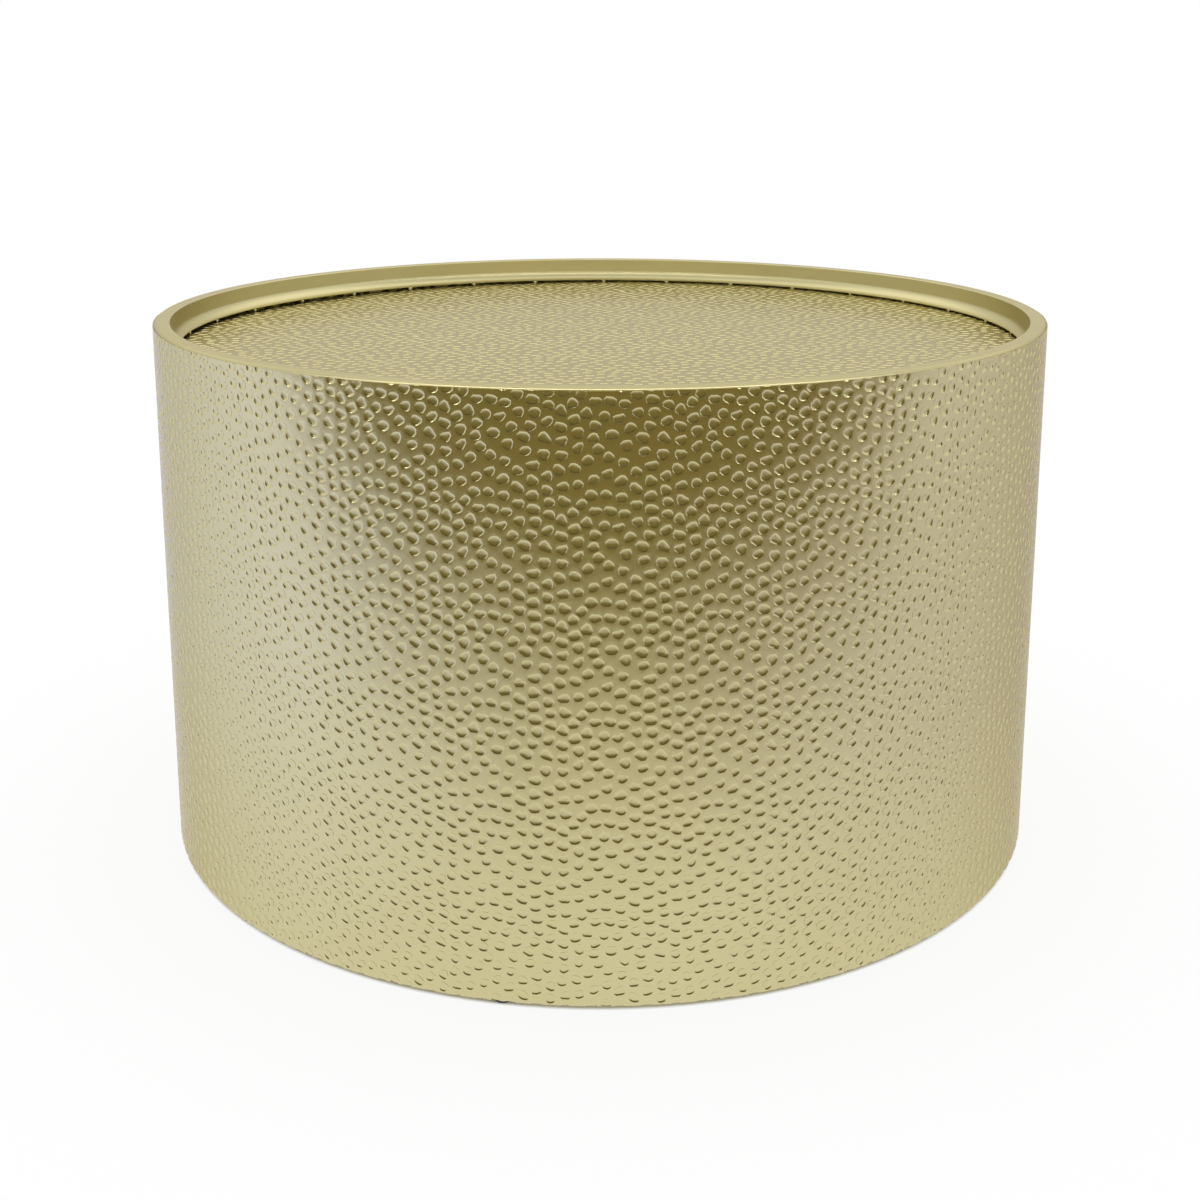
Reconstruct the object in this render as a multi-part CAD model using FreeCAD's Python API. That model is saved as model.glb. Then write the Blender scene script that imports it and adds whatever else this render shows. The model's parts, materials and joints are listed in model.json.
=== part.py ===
# Drum coffee table of embossed sheet metal: a rolled shell and a recessed top panel
# on a light steel frame, standing on four screw-in levelling feet.
# Millimetres, +Z up, origin on the floor under the middle of the drum.
# Angles run from the front, which faces -Y, towards +X.

import FreeCAD, Part
import math
import os

from FreeCAD import Vector

# Overall sizes
outer_diameter = 762.0
overall_height = 450.0
floor_gap = 3.5

# Side shell
shell_thickness = 0.9
shell_edge_drop = 1.6
seam_angle = 180.0
seam_gap = 0.6

# Rolled channel used for the rim ring and, turned over, for the base ring
channel_height = 22.0
channel_wall = 1.2
channel_outer_round = 2.0
channel_inner_round = 0.8
channel_fit_gap = 0.1
base_recess = 5.0

# Lip that the foot of the rim ring's inner leg is bent to
rim_lip_angle = 65.0
rim_lip_length = 7.0
rim_lip_round = 9.0

# Top panel
panel_thickness = 0.9
panel_gap = 3.0
panel_edge_gap = 0.5

# Cross brace and posts, cut from one square tube
tube_size = 20.0
tube_wall = 1.5
post_fit_gap = 0.3

# Levelling feet, named by the way they face
foot_places = ["front", "right", "back", "left"]
first_foot_angle = -10.8
thread_diameter = 6.0
thread_pitch = 1.0
thread_clearance = 0.05
foot_turns = 8.0
web_hole_clearance = 0.3
nut_across_flats = 10.0
nut_height = 5.0
nut_side_gap = 0.3
stud_spare_length = 1.5
stud_tip_chamfer = 0.8
pad_shell_gap = 1.1
pad_flange_height = 5.0
pad_hex_across_flats = 9.0
pad_edge_round = 1.5
pad_socket_floor = 3.0
pad_socket_end_gap = 0.3
pad_stop_gap = 0.3

# Weld beads
rim_weld_count = 24
rim_weld_length = 9.0
rim_weld_panel_gap = 1.2
base_weld_count = 24
base_weld_length = 12.0
base_weld_height = 2.5
tack_count = 32
first_tack_angle = -0.5
tack_length = 4.0
tack_cover = 1.1
tack_inset = 0.5
frame_weld_leg = 4.0
post_weld_width = 2.0
post_weld_end_gap = 3.0

# Places that follow from the sizes above
shell_outer_radius = outer_diameter / 2
shell_inner_radius = shell_outer_radius - shell_thickness
shell_bottom = floor_gap
shell_top = overall_height - shell_edge_drop
channel_width = nut_across_flats + 2 * (nut_side_gap + channel_wall)
channel_outer_radius = shell_inner_radius - channel_fit_gap
channel_inner_radius = channel_outer_radius - channel_width
channel_middle_radius = channel_outer_radius - channel_width / 2
leg_weld_radius = channel_outer_radius - channel_wall
rim_top = overall_height
rim_bottom = rim_top - channel_height
rim_lip_turn = math.radians(rim_lip_angle)
rim_lip_edge = rim_bottom + channel_wall * math.sin(rim_lip_turn)
rim_bend = rim_lip_edge + rim_lip_length * math.cos(rim_lip_turn)
rim_back_bend = rim_bend - channel_wall * math.tan(rim_lip_turn / 2)
rim_lip_radius = channel_inner_radius - rim_lip_length * math.sin(rim_lip_turn)
rim_lip_back_radius = rim_lip_radius + channel_wall * math.cos(rim_lip_turn)
base_bottom = floor_gap + base_recess
base_top = base_bottom + channel_height
panel_top = rim_bottom - panel_gap
panel_bottom = panel_top - panel_thickness
brace_bottom = panel_bottom - tube_size
post_corner_radius = channel_inner_radius - post_fit_gap
post_face = math.sqrt(post_corner_radius ** 2 - (tube_size / 2) ** 2)
foot_count = len(foot_places)
foot_travel = foot_turns * thread_pitch
stud_radius = thread_diameter / 2
thread_bore_radius = stud_radius + thread_clearance
nut_bottom = base_bottom + channel_wall
nut_top = nut_bottom + nut_height
pad_radius = shell_inner_radius - pad_shell_gap - channel_middle_radius
pad_top = base_bottom - pad_stop_gap
stud_bottom = pad_socket_floor + pad_socket_end_gap
stud_top = nut_top + foot_travel + stud_spare_length

axis_up = Vector(0, 0, 1)
origin = Vector(0, 0, 0)
same_place = 1e-4
hexagon_sides = 6


def turned(shape, angle):
    """A copy of a shape built at the front, carried round the drum's axis."""
    copy = shape.copy()
    copy.rotate(origin, axis_up, angle)
    return copy


def spaced_round(shape, count, start):
    """Copies of a shape built at the front, evenly spaced round the drum."""
    return [turned(shape, start + 360.0 * index / count) for index in range(count)]


def face_from(points):
    """A flat face with straight sides through the given points."""
    return Part.Face(Part.makePolygon(points + [points[0]]))


def turned_section(profile, sweep):
    """A section of (radius, height) points swept round the axis, centred on the front."""
    face = face_from([Vector(0, -radius, height) for radius, height in profile])
    face.rotate(origin, axis_up, -sweep / 2)
    return face.revolve(origin, axis_up, sweep)


def block(radius_in, radius_out, low, high, length):
    """A short curved block at the front, with its length measured at its outer radius."""
    profile = [(radius_in, low), (radius_out, low), (radius_out, high), (radius_in, high)]
    return turned_section(profile, math.degrees(length / radius_out))


def circles_at(shape, radius, height):
    """The circular edges of a shape with this radius at this height."""
    circles = [edge for edge in shape.Edges if isinstance(edge.Curve, Part.Circle)]
    level = [edge for edge in circles if abs(edge.Curve.Center.z - height) < same_place]
    return [edge for edge in level if abs(edge.Curve.Radius - radius) < same_place]


def rounded(shape, radius, height, round_radius):
    """Round the circular edge that lies at this radius and height."""
    return shape.makeFillet(round_radius, circles_at(shape, radius, height))


def channel_ring(web_height, leg_direction, inner_end):
    """The rolled channel as a ring: its web at web_height, its legs up (1) or down (-1), and the
    points from the back to the front of its inner leg's free end."""
    leg_end = web_height + leg_direction * channel_height
    groove = web_height + leg_direction * channel_wall
    profile = [
        (channel_inner_radius, web_height),
        (channel_outer_radius, web_height),
        (channel_outer_radius, leg_end),
        (channel_outer_radius - channel_wall, leg_end),
        (channel_outer_radius - channel_wall, groove),
        (channel_inner_radius + channel_wall, groove),
    ]
    ring = turned_section(profile + inner_end, 360.0)
    ring = rounded(ring, channel_outer_radius, web_height, channel_outer_round)
    return rounded(ring, channel_inner_radius, web_height, channel_inner_round)


def hexagon(across_flats, low, high):
    """A hexagonal prism on the front foot's place, two flats facing along the radius."""
    corner_radius = across_flats / math.sqrt(3)
    corners = []
    for index in range(hexagon_sides):
        corner = 2 * math.pi * index / hexagon_sides
        side = corner_radius * math.cos(corner)
        outward = channel_middle_radius + corner_radius * math.sin(corner)
        corners.append(Vector(side, -outward, low))
    return face_from(corners).extrude(Vector(0, 0, high - low))


def foot_cylinder(radius, low, high):
    """An upright cylinder on the front foot's axis."""
    return Part.makeCylinder(radius, high - low, Vector(0, -channel_middle_radius, low))


def square_tube(length, start, direction):
    """A length of square tube, open at both ends, run from the middle of one end."""
    turn = FreeCAD.Rotation(axis_up, direction)
    outer = Part.makeBox(tube_size, tube_size, length, Vector(-tube_size / 2, -tube_size / 2, 0))
    bore = tube_size - 2 * tube_wall
    inner = Part.makeBox(bore, bore, length, Vector(-bore / 2, -bore / 2, 0))
    tube = outer.cut(inner)
    tube.Placement = FreeCAD.Placement(start, turn)
    return tube


# Side shell: one sheet rolled round, its two ends a seam's width apart at the back.
def side_shell():
    sweep = 360.0 - math.degrees(seam_gap / shell_outer_radius)
    profile = [
        (shell_inner_radius, shell_bottom),
        (shell_outer_radius, shell_bottom),
        (shell_outer_radius, shell_top),
        (shell_inner_radius, shell_top),
    ]
    return turned(turned_section(profile, sweep), seam_angle - 180.0)


# Seam weld: fills the seam from top to bottom, ground flush with the sheet.
def shell_seam_weld():
    strip = block(shell_inner_radius, shell_outer_radius, shell_bottom, shell_top, seam_gap)
    return turned(strip, seam_angle)


# Rim ring: the channel with its groove down, and the foot of its inner leg bent in to a coved lip.
def rim_ring():
    lip = [
        (channel_inner_radius + channel_wall, rim_back_bend),
        (rim_lip_back_radius, rim_bottom),
        (rim_lip_radius, rim_lip_edge),
        (channel_inner_radius, rim_bend),
    ]
    ring = channel_ring(rim_top, -1, lip)
    ring = rounded(ring, channel_inner_radius, rim_bend, rim_lip_round)
    return rounded(ring, channel_inner_radius + channel_wall, rim_back_bend, rim_lip_round + channel_wall)


# Rim welds: short tacks under the rim ring's outer leg, against the shell.
def rim_welds():
    tack_bottom = panel_top + rim_weld_panel_gap
    tack = block(leg_weld_radius, shell_inner_radius, tack_bottom, rim_bottom, rim_weld_length)
    return Part.makeCompound(spaced_round(tack, rim_weld_count, first_foot_angle))


# Base welds: short three-cornered beads on top of the base ring's outer leg, against the shell.
def base_welds():
    profile = [
        (shell_inner_radius, base_top),
        (shell_inner_radius, base_top + base_weld_height),
        (leg_weld_radius, base_top),
    ]
    bead = turned_section(profile, math.degrees(base_weld_length / shell_inner_radius))
    half_step = 180.0 / base_weld_count
    return Part.makeCompound(spaced_round(bead, base_weld_count, first_foot_angle + half_step))


# Top panel: a sheet disc that lies under the rim ring and reaches almost to the shell.
def top_panel():
    return Part.makeCylinder(shell_inner_radius - panel_edge_gap, panel_thickness, Vector(0, 0, panel_bottom))


# Panel tack welds: small beads from the back of the rim ring's lip down to the panel.
def panel_tack_welds():
    tack_inner = rim_lip_back_radius - tack_inset
    tack_outer = rim_lip_back_radius + tack_cover * math.sin(rim_lip_turn)
    profile = [
        (tack_inner, panel_top),
        (tack_outer, panel_top),
        (tack_outer, rim_bottom + tack_cover * math.cos(rim_lip_turn)),
        (rim_lip_back_radius, rim_bottom),
        (tack_inner, rim_bottom),
    ]
    tack = turned_section(profile, math.degrees(tack_length / tack_outer))
    return Part.makeCompound(spaced_round(tack, tack_count, first_tack_angle))


# Base ring: the channel with its groove upwards and one clearance hole over each foot.
def base_ring():
    plain_end = [(channel_inner_radius + channel_wall, base_top), (channel_inner_radius, base_top)]
    ring = channel_ring(base_bottom, 1, plain_end)
    hole = foot_cylinder(stud_radius + web_hole_clearance, base_bottom, nut_bottom)
    return ring.cut(spaced_round(hole, foot_count, first_foot_angle))


# Cross brace: one bar right across under the panel and two that butt against its sides.
def brace_bar(start, end):
    middle_height = panel_bottom - tube_size / 2
    return square_tube(end - start, Vector(0, -start, middle_height), Vector(0, -1, 0))


# Frame post: stands inside the base ring and carries one end of the brace.
def frame_post():
    start = Vector(0, tube_size / 2 - post_face, base_bottom)
    return square_tube(brace_bottom - base_bottom, start, axis_up)


# Frame welds: fillets under the brace at each post, up the corners of the crossing,
# and up both sides of each post against the base ring.
def frame_welds():
    post_inner = post_face - tube_size
    half = tube_size / 2
    under_brace = face_from([
        Vector(-half, -post_inner, brace_bottom),
        Vector(-half, frame_weld_leg - post_inner, brace_bottom),
        Vector(-half, -post_inner, brace_bottom - frame_weld_leg),
    ]).extrude(Vector(tube_size, 0, 0))
    in_corner = face_from([
        Vector(half, half, brace_bottom),
        Vector(half + frame_weld_leg, half, brace_bottom),
        Vector(half, half + frame_weld_leg, brace_bottom),
    ]).extrude(Vector(0, 0, tube_size))
    beside_post = block(channel_inner_radius - post_weld_width, channel_inner_radius,
                        base_bottom + post_weld_end_gap, base_top - post_weld_end_gap, post_weld_width)
    weld_offset = math.degrees((half + post_fit_gap + post_weld_width / 2) / channel_inner_radius)
    beads = spaced_round(under_brace, foot_count, first_foot_angle)
    beads += spaced_round(in_corner, foot_count, first_foot_angle)
    beads += spaced_round(beside_post, foot_count, first_foot_angle - weld_offset)
    beads += spaced_round(beside_post, foot_count, first_foot_angle + weld_offset)
    return Part.makeCompound(beads)


# Foot nut: a hexagon nut welded inside the base ring's groove.
def foot_nut():
    nut = hexagon(nut_across_flats, nut_bottom, nut_top)
    return nut.cut(foot_cylinder(thread_bore_radius, nut_bottom, nut_top))


# Foot stud: a plain cylinder at the thread's outer size, chamfered at its upper tip.
def foot_stud():
    stud = foot_cylinder(stud_radius, stud_bottom, stud_top)
    return stud.makeChamfer(stud_tip_chamfer, circles_at(stud, stud_radius, stud_top))


# Foot pad: a round flange with a soft lower edge, a hexagon to turn it by, and the stud's socket.
def foot_pad():
    flange = foot_cylinder(pad_radius, 0.0, pad_flange_height)
    flange = rounded(flange, pad_radius, 0.0, pad_edge_round)
    grip = hexagon(pad_hex_across_flats, pad_flange_height, pad_top)
    socket = foot_cylinder(thread_bore_radius, pad_socket_floor, pad_top)
    return flange.fuse(grip).removeSplitter().cut(socket)


brace_half = tube_size / 2

pieces = {
    "side_shell": side_shell(),
    "shell_seam_weld": shell_seam_weld(),
    "rim_ring": rim_ring(),
    "rim_welds": rim_welds(),
    "top_panel": top_panel(),
    "panel_tack_welds": panel_tack_welds(),
    "base_ring": base_ring(),
    "base_welds": base_welds(),
    "brace_bar_long": turned(brace_bar(-post_face, post_face), first_foot_angle),
    "brace_bar_right": turned(brace_bar(brace_half, post_face), first_foot_angle + 90.0),
    "brace_bar_left": turned(brace_bar(brace_half, post_face), first_foot_angle + 270.0),
    "frame_welds": frame_welds(),
}
for index, place in enumerate(foot_places):
    foot_angle = first_foot_angle + 360.0 * index / foot_count
    pieces["frame_post_" + place] = turned(frame_post(), foot_angle)
    pieces["foot_nut_" + place] = turned(foot_nut(), foot_angle)
    pieces["foot_stud_" + place] = turned(foot_stud(), foot_angle)
    pieces["foot_pad_" + place] = turned(foot_pad(), foot_angle)

os.makedirs("parts", exist_ok=True)
for name, shape in pieces.items():
    shape.exportStep("parts/" + name + ".step")
    print(name, "solids", len(shape.Solids), "volume", round(shape.Volume), "valid", shape.isValid())
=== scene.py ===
# %% [markdown]
# # A hammered drum table
#
# The table is a drum of thin pressed steel with a flat painted rim and a sunken top.
# The CAD frame gives every piece its place and size. Blender adds what the frame keeps plain:
# the field of small pressed dents, the rolled rim, the weld blobs and the satin paint.

# %% Load the frame
import bpy
import bmesh
import json
import math
import random
from mathutils import Matrix, Vector, noise


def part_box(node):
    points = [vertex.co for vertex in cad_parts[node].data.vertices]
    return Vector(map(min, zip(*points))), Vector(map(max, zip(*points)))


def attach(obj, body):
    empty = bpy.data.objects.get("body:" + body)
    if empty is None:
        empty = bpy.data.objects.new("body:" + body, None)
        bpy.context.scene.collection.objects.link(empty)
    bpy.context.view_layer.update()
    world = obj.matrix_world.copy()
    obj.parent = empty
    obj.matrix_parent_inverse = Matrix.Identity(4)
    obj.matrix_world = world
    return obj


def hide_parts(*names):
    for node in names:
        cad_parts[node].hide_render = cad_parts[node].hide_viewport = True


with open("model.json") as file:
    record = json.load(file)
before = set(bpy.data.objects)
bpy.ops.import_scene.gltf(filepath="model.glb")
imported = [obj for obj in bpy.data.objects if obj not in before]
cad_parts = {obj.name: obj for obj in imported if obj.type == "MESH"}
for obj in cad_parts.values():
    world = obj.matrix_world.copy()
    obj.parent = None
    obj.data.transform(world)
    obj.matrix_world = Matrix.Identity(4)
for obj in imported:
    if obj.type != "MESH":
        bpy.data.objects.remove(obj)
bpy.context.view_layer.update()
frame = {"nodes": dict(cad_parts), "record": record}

# %% [markdown]
# ## Sizes read from the frame
#
# A piece that stands for a CAD node takes its radius and heights from that node's box, so the
# dressed table stays true if the drawing changes. Small sizes that the boxes can't tell, such as
# the width of the rim, are written in millimetres where they are first needed.

# %% Measure the frame
mm = 0.001
shell_low, shell_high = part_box("side_shell")
rim_low, rim_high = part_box("rim_ring")
_, panel_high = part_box("top_panel")
drum_radius = shell_high.x
rim_radius = rim_high.x
rim_width = 13 * mm
panel_radius = panel_high.x
print("drum radius", round(drum_radius, 4), "rim radius", round(rim_radius, 4))
print("shell from", round(shell_low.z, 4), "to", round(shell_high.z, 4), "panel top", round(panel_high.z, 4))

# %% [markdown]
# ## Camera
#
# The picture was taken from a little above the table's top, with a normal lens. The drum sits low in
# the frame although its uprights hardly lean together, which is what a crop or a shifted lens gives,
# so the camera is pitched a little and the rest of the framing comes from the vertical shift.

# %% Place the camera
picture_size = 1200
focal_pixels = 1637.5
sensor_width = 36
camera_distance = 1.431
camera_height = 0.6535
camera_pitch = math.radians(12.06)
horizon_row = 420

camera_data = bpy.data.cameras.new("photo_camera")
camera_data.sensor_width = sensor_width
camera_data.lens = sensor_width * focal_pixels / picture_size
camera_data.shift_y = (horizon_row - picture_size / 2) / picture_size
camera = bpy.data.objects.new("photo_camera", camera_data)
camera.location = (0, -camera_distance, camera_height)
camera.rotation_euler = (math.pi / 2 - camera_pitch, 0, 0)
bpy.context.scene.collection.objects.link(camera)
bpy.context.scene.camera = camera
print("lens", round(camera_data.lens, 2), "mm, shift", round(camera_data.shift_y, 3))

# %% [markdown]
# ## Where the dents of the hammered sheet sit
#
# The sheet was pressed between engraved rollers, so the same patch of dents repeats all over it.
# One patch is scattered here by chance, and close dents then push each other apart for a few
# rounds, which gives the even but never regular spacing of such a roller. The patch is treated as
# if its left edge met its right one, so that copies of it join with no visible line.

# %% Scatter the dents of one patch
patch_width = 79 * mm
patch_height = 74.5 * mm
dents_in_patch = 54
wanted_gap = 13 * mm
push_share = 0.2
push_rounds = 10
chance = random.Random(43)


def shortest_way(start, end):
    """The way from one dent to another on a patch that repeats."""
    way = end - start
    way.x -= patch_width * round(way.x / patch_width)
    way.y -= patch_height * round(way.y / patch_height)
    return way


def scattered_places():
    places = []
    for _ in range(dents_in_patch):
        places.append(Vector((chance.uniform(0, patch_width), chance.uniform(0, patch_height), 0)))
    for _ in range(push_rounds):
        for index, place in enumerate(places):
            push = Vector((0, 0, 0))
            for other_index, other in enumerate(places):
                away = shortest_way(other, place)
                if other_index != index and away.length < wanted_gap:
                    push += away.normalized() * (wanted_gap - away.length) * push_share
            moved = place + push
            places[index] = Vector((moved.x % patch_width, moved.y % patch_height, 0))
    return places


dent_places = scattered_places()
nearest = []
for place in dent_places:
    nearest.append(min(shortest_way(place, other).length for other in dent_places if other is not place))
print("dents in a patch", len(dent_places), "nearest neighbours", round(min(nearest) / mm, 2), "to",
      round(max(nearest) / mm, 2), "mm, mean", round(sum(nearest) / len(nearest) / mm, 2), "mm")

# %% [markdown]
# ## One dent and the flat round it
#
# Every dent owns the bit of sheet that is nearer to it than to any other dent. That bit is cut out
# of a square with one plane for each neighbour. A circle in it is pulled into an oval or a soft
# triangle, and the dent is sunk by insetting its face in steps: a soft lip, a steep wall, two gentler
# rings and a bottom that sags a little. The outside of the sheet gets ten-sided dents, and the
# inside, where the same dents stand out as bumps, gets six sides and fewer steps.

# %% Cut the cells and sink the dents
dent_radius = 3.85 * mm
radius_spread = 0.35 * mm
dent_depth = 0.85 * mm
depth_spread = 0.08 * mm
oval_share = 0.2
oval_turn_spread = 0.5
point_share = 0.15
fillet_share = 0.07
cell_fill = 0.95
cell_reach = 14 * mm
# Two places this near are one dent, and a neighbour this square to a direction never stands in its way.
same_place = 0.1 * mm
least_facing = 0.05
face_sides = 10
back_sides = 6
# Each step: how far the dent's bottom is inset, as a share of its radius, and how far it sinks, as a
# share of its depth.
face_steps = [(fillet_share, 0.13), (0.1, 0.42), (0.16, 0.25), (0.25, 0.14)]
back_steps = [(0.42, 0.8)]
floor_sag = 0.06
floor_lean = math.tan(math.radians(1))


def neighbour_ways(place):
    """The ways from a dent to the copies of all dents that are near enough to cut its cell."""
    ways = []
    for other in dent_places:
        for column in (-1, 0, 1):
            for row in (-1, 0, 1):
                way = other + Vector((column * patch_width, row * patch_height, 0)) - place
                if same_place < way.length < 2 * cell_reach:
                    ways.append(way)
    return sorted(ways, key=lambda way: way.length)


def free_reach(angle, ways):
    """How far a dent can go in one direction before it meets its neighbour's half of the gap."""
    direction = Vector((math.cos(angle), math.sin(angle), 0))
    reach = cell_reach
    for way in ways:
        along = way.normalized().dot(direction)
        if along > least_facing:
            reach = min(reach, way.length / 2 / along)
    return reach


def dent_traits():
    """The chance traits of one dent, drawn once and used on both faces of the sheet."""
    return {
        "radius": dent_radius + chance.uniform(-radius_spread, radius_spread),
        "depth": dent_depth + chance.uniform(-depth_spread, depth_spread),
        "oval": chance.uniform(0, oval_share),
        "oval_turn": chance.gauss(0, oval_turn_spread),
        "point": chance.uniform(0, point_share),
        "point_turn": chance.uniform(0, 2 * math.pi),
    }


def dent_outline(angle, traits, ways):
    """The radius of a dent's lip in one direction."""
    shape = 1 + traits["oval"] * math.cos(2 * (angle - traits["oval_turn"]))
    shape += traits["point"] * math.cos(3 * (angle - traits["point_turn"]))
    wide = traits["radius"] * shape * (1 + fillet_share)
    return min(wide, cell_fill * free_reach(angle, ways))


def pressed_cell(place, traits, sides, steps):
    """A bmesh of one cell of the sheet with its dent, moved to the dent's place."""
    ways = neighbour_ways(place)
    cell = bmesh.new()
    bmesh.ops.create_grid(cell, x_segments=1, y_segments=1, size=cell_reach)
    for way in ways:
        everything = cell.verts[:] + cell.edges[:] + cell.faces[:]
        bmesh.ops.bisect_plane(cell, geom=everything, plane_co=way / 2, plane_no=way, clear_outer=True)
    border = cell.edges[:]
    bmesh.ops.delete(cell, geom=cell.faces[:], context="FACES_ONLY")
    ring = bmesh.ops.create_circle(cell, cap_ends=True, segments=sides, radius=dent_radius)["verts"]
    for corner in ring:
        angle = math.atan2(corner.co.y, corner.co.x)
        corner.co = corner.co.normalized() * dent_outline(angle, traits, ways)
    cell.faces.ensure_lookup_table()
    bottom = cell.faces[0]
    bottom.normal_update()
    if bottom.normal.z < 0:
        bottom.normal_flip()
    bmesh.ops.triangle_fill(cell, use_beauty=True, edges=border + bottom.edges[:], normal=(0, 0, 1))
    for inset, sink in steps:
        bmesh.ops.inset_individual(cell, faces=[bottom], thickness=inset * traits["radius"],
                                   depth=-sink * traits["depth"], use_even_offset=True)
    for corner in bottom.verts:
        corner.co.z += floor_lean * corner.co.y
    bmesh.ops.poke(cell, faces=[bottom], offset=-floor_sag * traits["depth"])
    cell.normal_update()
    bmesh.ops.reverse_faces(cell, faces=[face for face in cell.faces if face.normal.z < 0])
    bmesh.ops.translate(cell, verts=cell.verts[:], vec=place)
    return cell


def cell_mesh(name, place, traits, sides, steps):
    mesh = bpy.data.meshes.new(name)
    cell = pressed_cell(place, traits, sides, steps)
    cell.to_mesh(mesh)
    cell.free()
    return mesh


all_traits = [dent_traits() for _ in dent_places]
face_cells = []
back_cells = []
for index, place in enumerate(dent_places):
    traits = all_traits[index]
    face_cells.append(cell_mesh(f"face_cell_{index}", place, traits, face_sides, face_steps))
    back_cells.append(cell_mesh(f"back_cell_{index}", place, traits, back_sides, back_steps))
print("faces on a cell outside", len(face_cells[0].polygons), "inside", len(back_cells[0].polygons))
up = [min(face.normal.z for face in mesh.polygons) for mesh in face_cells]
print("steepest wall", round(math.degrees(math.acos(min(up))), 1), "degrees")

# %% [markdown]
# ## A column of flat sheet
#
# The side is one long strip of that sheet. It is laid out flat first: copies of the cells go down in
# rows to make one column, outside and inside, and planes cut the column's top and bottom through any
# dents in their way, as shears would. The two faces are then joined along those cuts.

# %% Lay out one flat column
sheet_thickness = 0.9 * mm
strip_height = shell_high.z - shell_low.z
rows_in_strip = math.ceil(strip_height / patch_height)
near = 0.01 * mm


def add_mesh(sheet, mesh, shift):
    """A copy of a mesh, moved by shift, put into a bmesh."""
    first = len(sheet.verts)
    sheet.from_mesh(mesh)
    sheet.verts.ensure_lookup_table()
    bmesh.ops.translate(sheet, verts=sheet.verts[first:], vec=shift)


def patch_of(cells, turned_over):
    """One mesh of a whole patch, face up or, for the inside of the sheet, face down. Each face keeps
    the number of its dent, so that single cells can be taken out later."""
    patch = bmesh.new()
    dent_number = patch.faces.layers.int.new("dent")
    for index, mesh in enumerate(cells):
        first = len(patch.faces)
        patch.from_mesh(mesh)
        patch.faces.ensure_lookup_table()
        for face in patch.faces[first:]:
            face[dent_number] = index
    bmesh.ops.remove_doubles(patch, verts=patch.verts[:], dist=near)
    if turned_over:
        bmesh.ops.translate(patch, verts=patch.verts[:], vec=(0, 0, -sheet_thickness))
        bmesh.ops.reverse_faces(patch, faces=patch.faces[:])
    made = bpy.data.meshes.new("patch")
    patch.to_mesh(made)
    patch.free()
    return made


def trim(sheet, axis, place, keep_above):
    """A straight cut across the flat strip, which throws away one side and merges points that meet."""
    cut = Vector((0, 0, 0))
    normal = Vector((0, 0, 0))
    cut[axis] = place
    normal[axis] = 1
    everything = sheet.verts[:] + sheet.edges[:] + sheet.faces[:]
    bmesh.ops.bisect_plane(sheet, geom=everything, plane_co=cut, plane_no=normal,
                           clear_inner=keep_above, clear_outer=not keep_above)
    bmesh.ops.remove_doubles(sheet, verts=sheet.verts[:], dist=near)


def cut_edges(sheet, axis, place):
    """The open edges that lie along one straight cut."""
    found = []
    for edge in sheet.edges:
        on_cut = all(abs(corner.co[axis] - place) < near for corner in edge.verts)
        if edge.is_boundary and on_cut:
            found.append(edge)
    return found


def flat_column():
    """One column of patches, outside and inside, trimmed and closed along its top and bottom."""
    sheet = bmesh.new()
    for row in range(-1, rows_in_strip + 1):
        shift = Vector((0, row * patch_height, 0))
        add_mesh(sheet, face_patch, shift)
        add_mesh(sheet, back_patch, shift)
    bmesh.ops.remove_doubles(sheet, verts=sheet.verts[:], dist=near)
    trim(sheet, 1, 0, True)
    trim(sheet, 1, strip_height, False)
    for height in (0, strip_height):
        bmesh.ops.bridge_loops(sheet, edges=cut_edges(sheet, 1, height))
    made = bpy.data.meshes.new("column")
    sheet.to_mesh(made)
    sheet.free()
    return made


face_patch = patch_of(face_cells, False)
back_patch = patch_of(back_cells, True)
column_mesh = flat_column()
print("column height", round(strip_height, 4), "faces", len(column_mesh.polygons))

# %% [markdown]
# ## The side of the drum
#
# Columns side by side make the strip, and the strip is rolled by turning each point's place along it
# into an angle, until its ends meet at the back. It is split into pieces to keep each mesh light,
# along the edges of cells, so that the pieces meet with no step. A slow sway keeps the drum from
# being perfectly round, and its upper edge from being perfectly level.

# %% Roll the side sheet
seam_angle = math.pi
seam_gap = 0.6 * mm
columns_in_piece = 4
strip_length = 2 * math.pi * drum_radius
columns_in_strip = math.ceil(strip_length / patch_width)
sway_depth = 0.22 * mm
sway_scale = 6.0
edge_sway = 0.25 * mm
edge_sway_scale = 9
edge_sway_layer = 7
sharp_angle = math.radians(60)
flat_weight = 80


def rolled(point):
    """A point of the flat strip on the drum: along is round the drum, up is up, out is outwards."""
    along, up, out = point
    angle = seam_angle + along / drum_radius
    direction = Vector((math.sin(angle), -math.cos(angle), 0))
    sway = noise.noise(Vector((direction.x, direction.y, up)) * sway_scale)
    edge_place = (direction.x * edge_sway_scale, direction.y * edge_sway_scale, edge_sway_layer)
    lift = edge_sway * noise.noise(Vector(edge_place))
    radius = drum_radius + out + sway_depth * sway
    return direction * radius + Vector((0, 0, shell_low.z + up + lift * (up / strip_height)))


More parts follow.
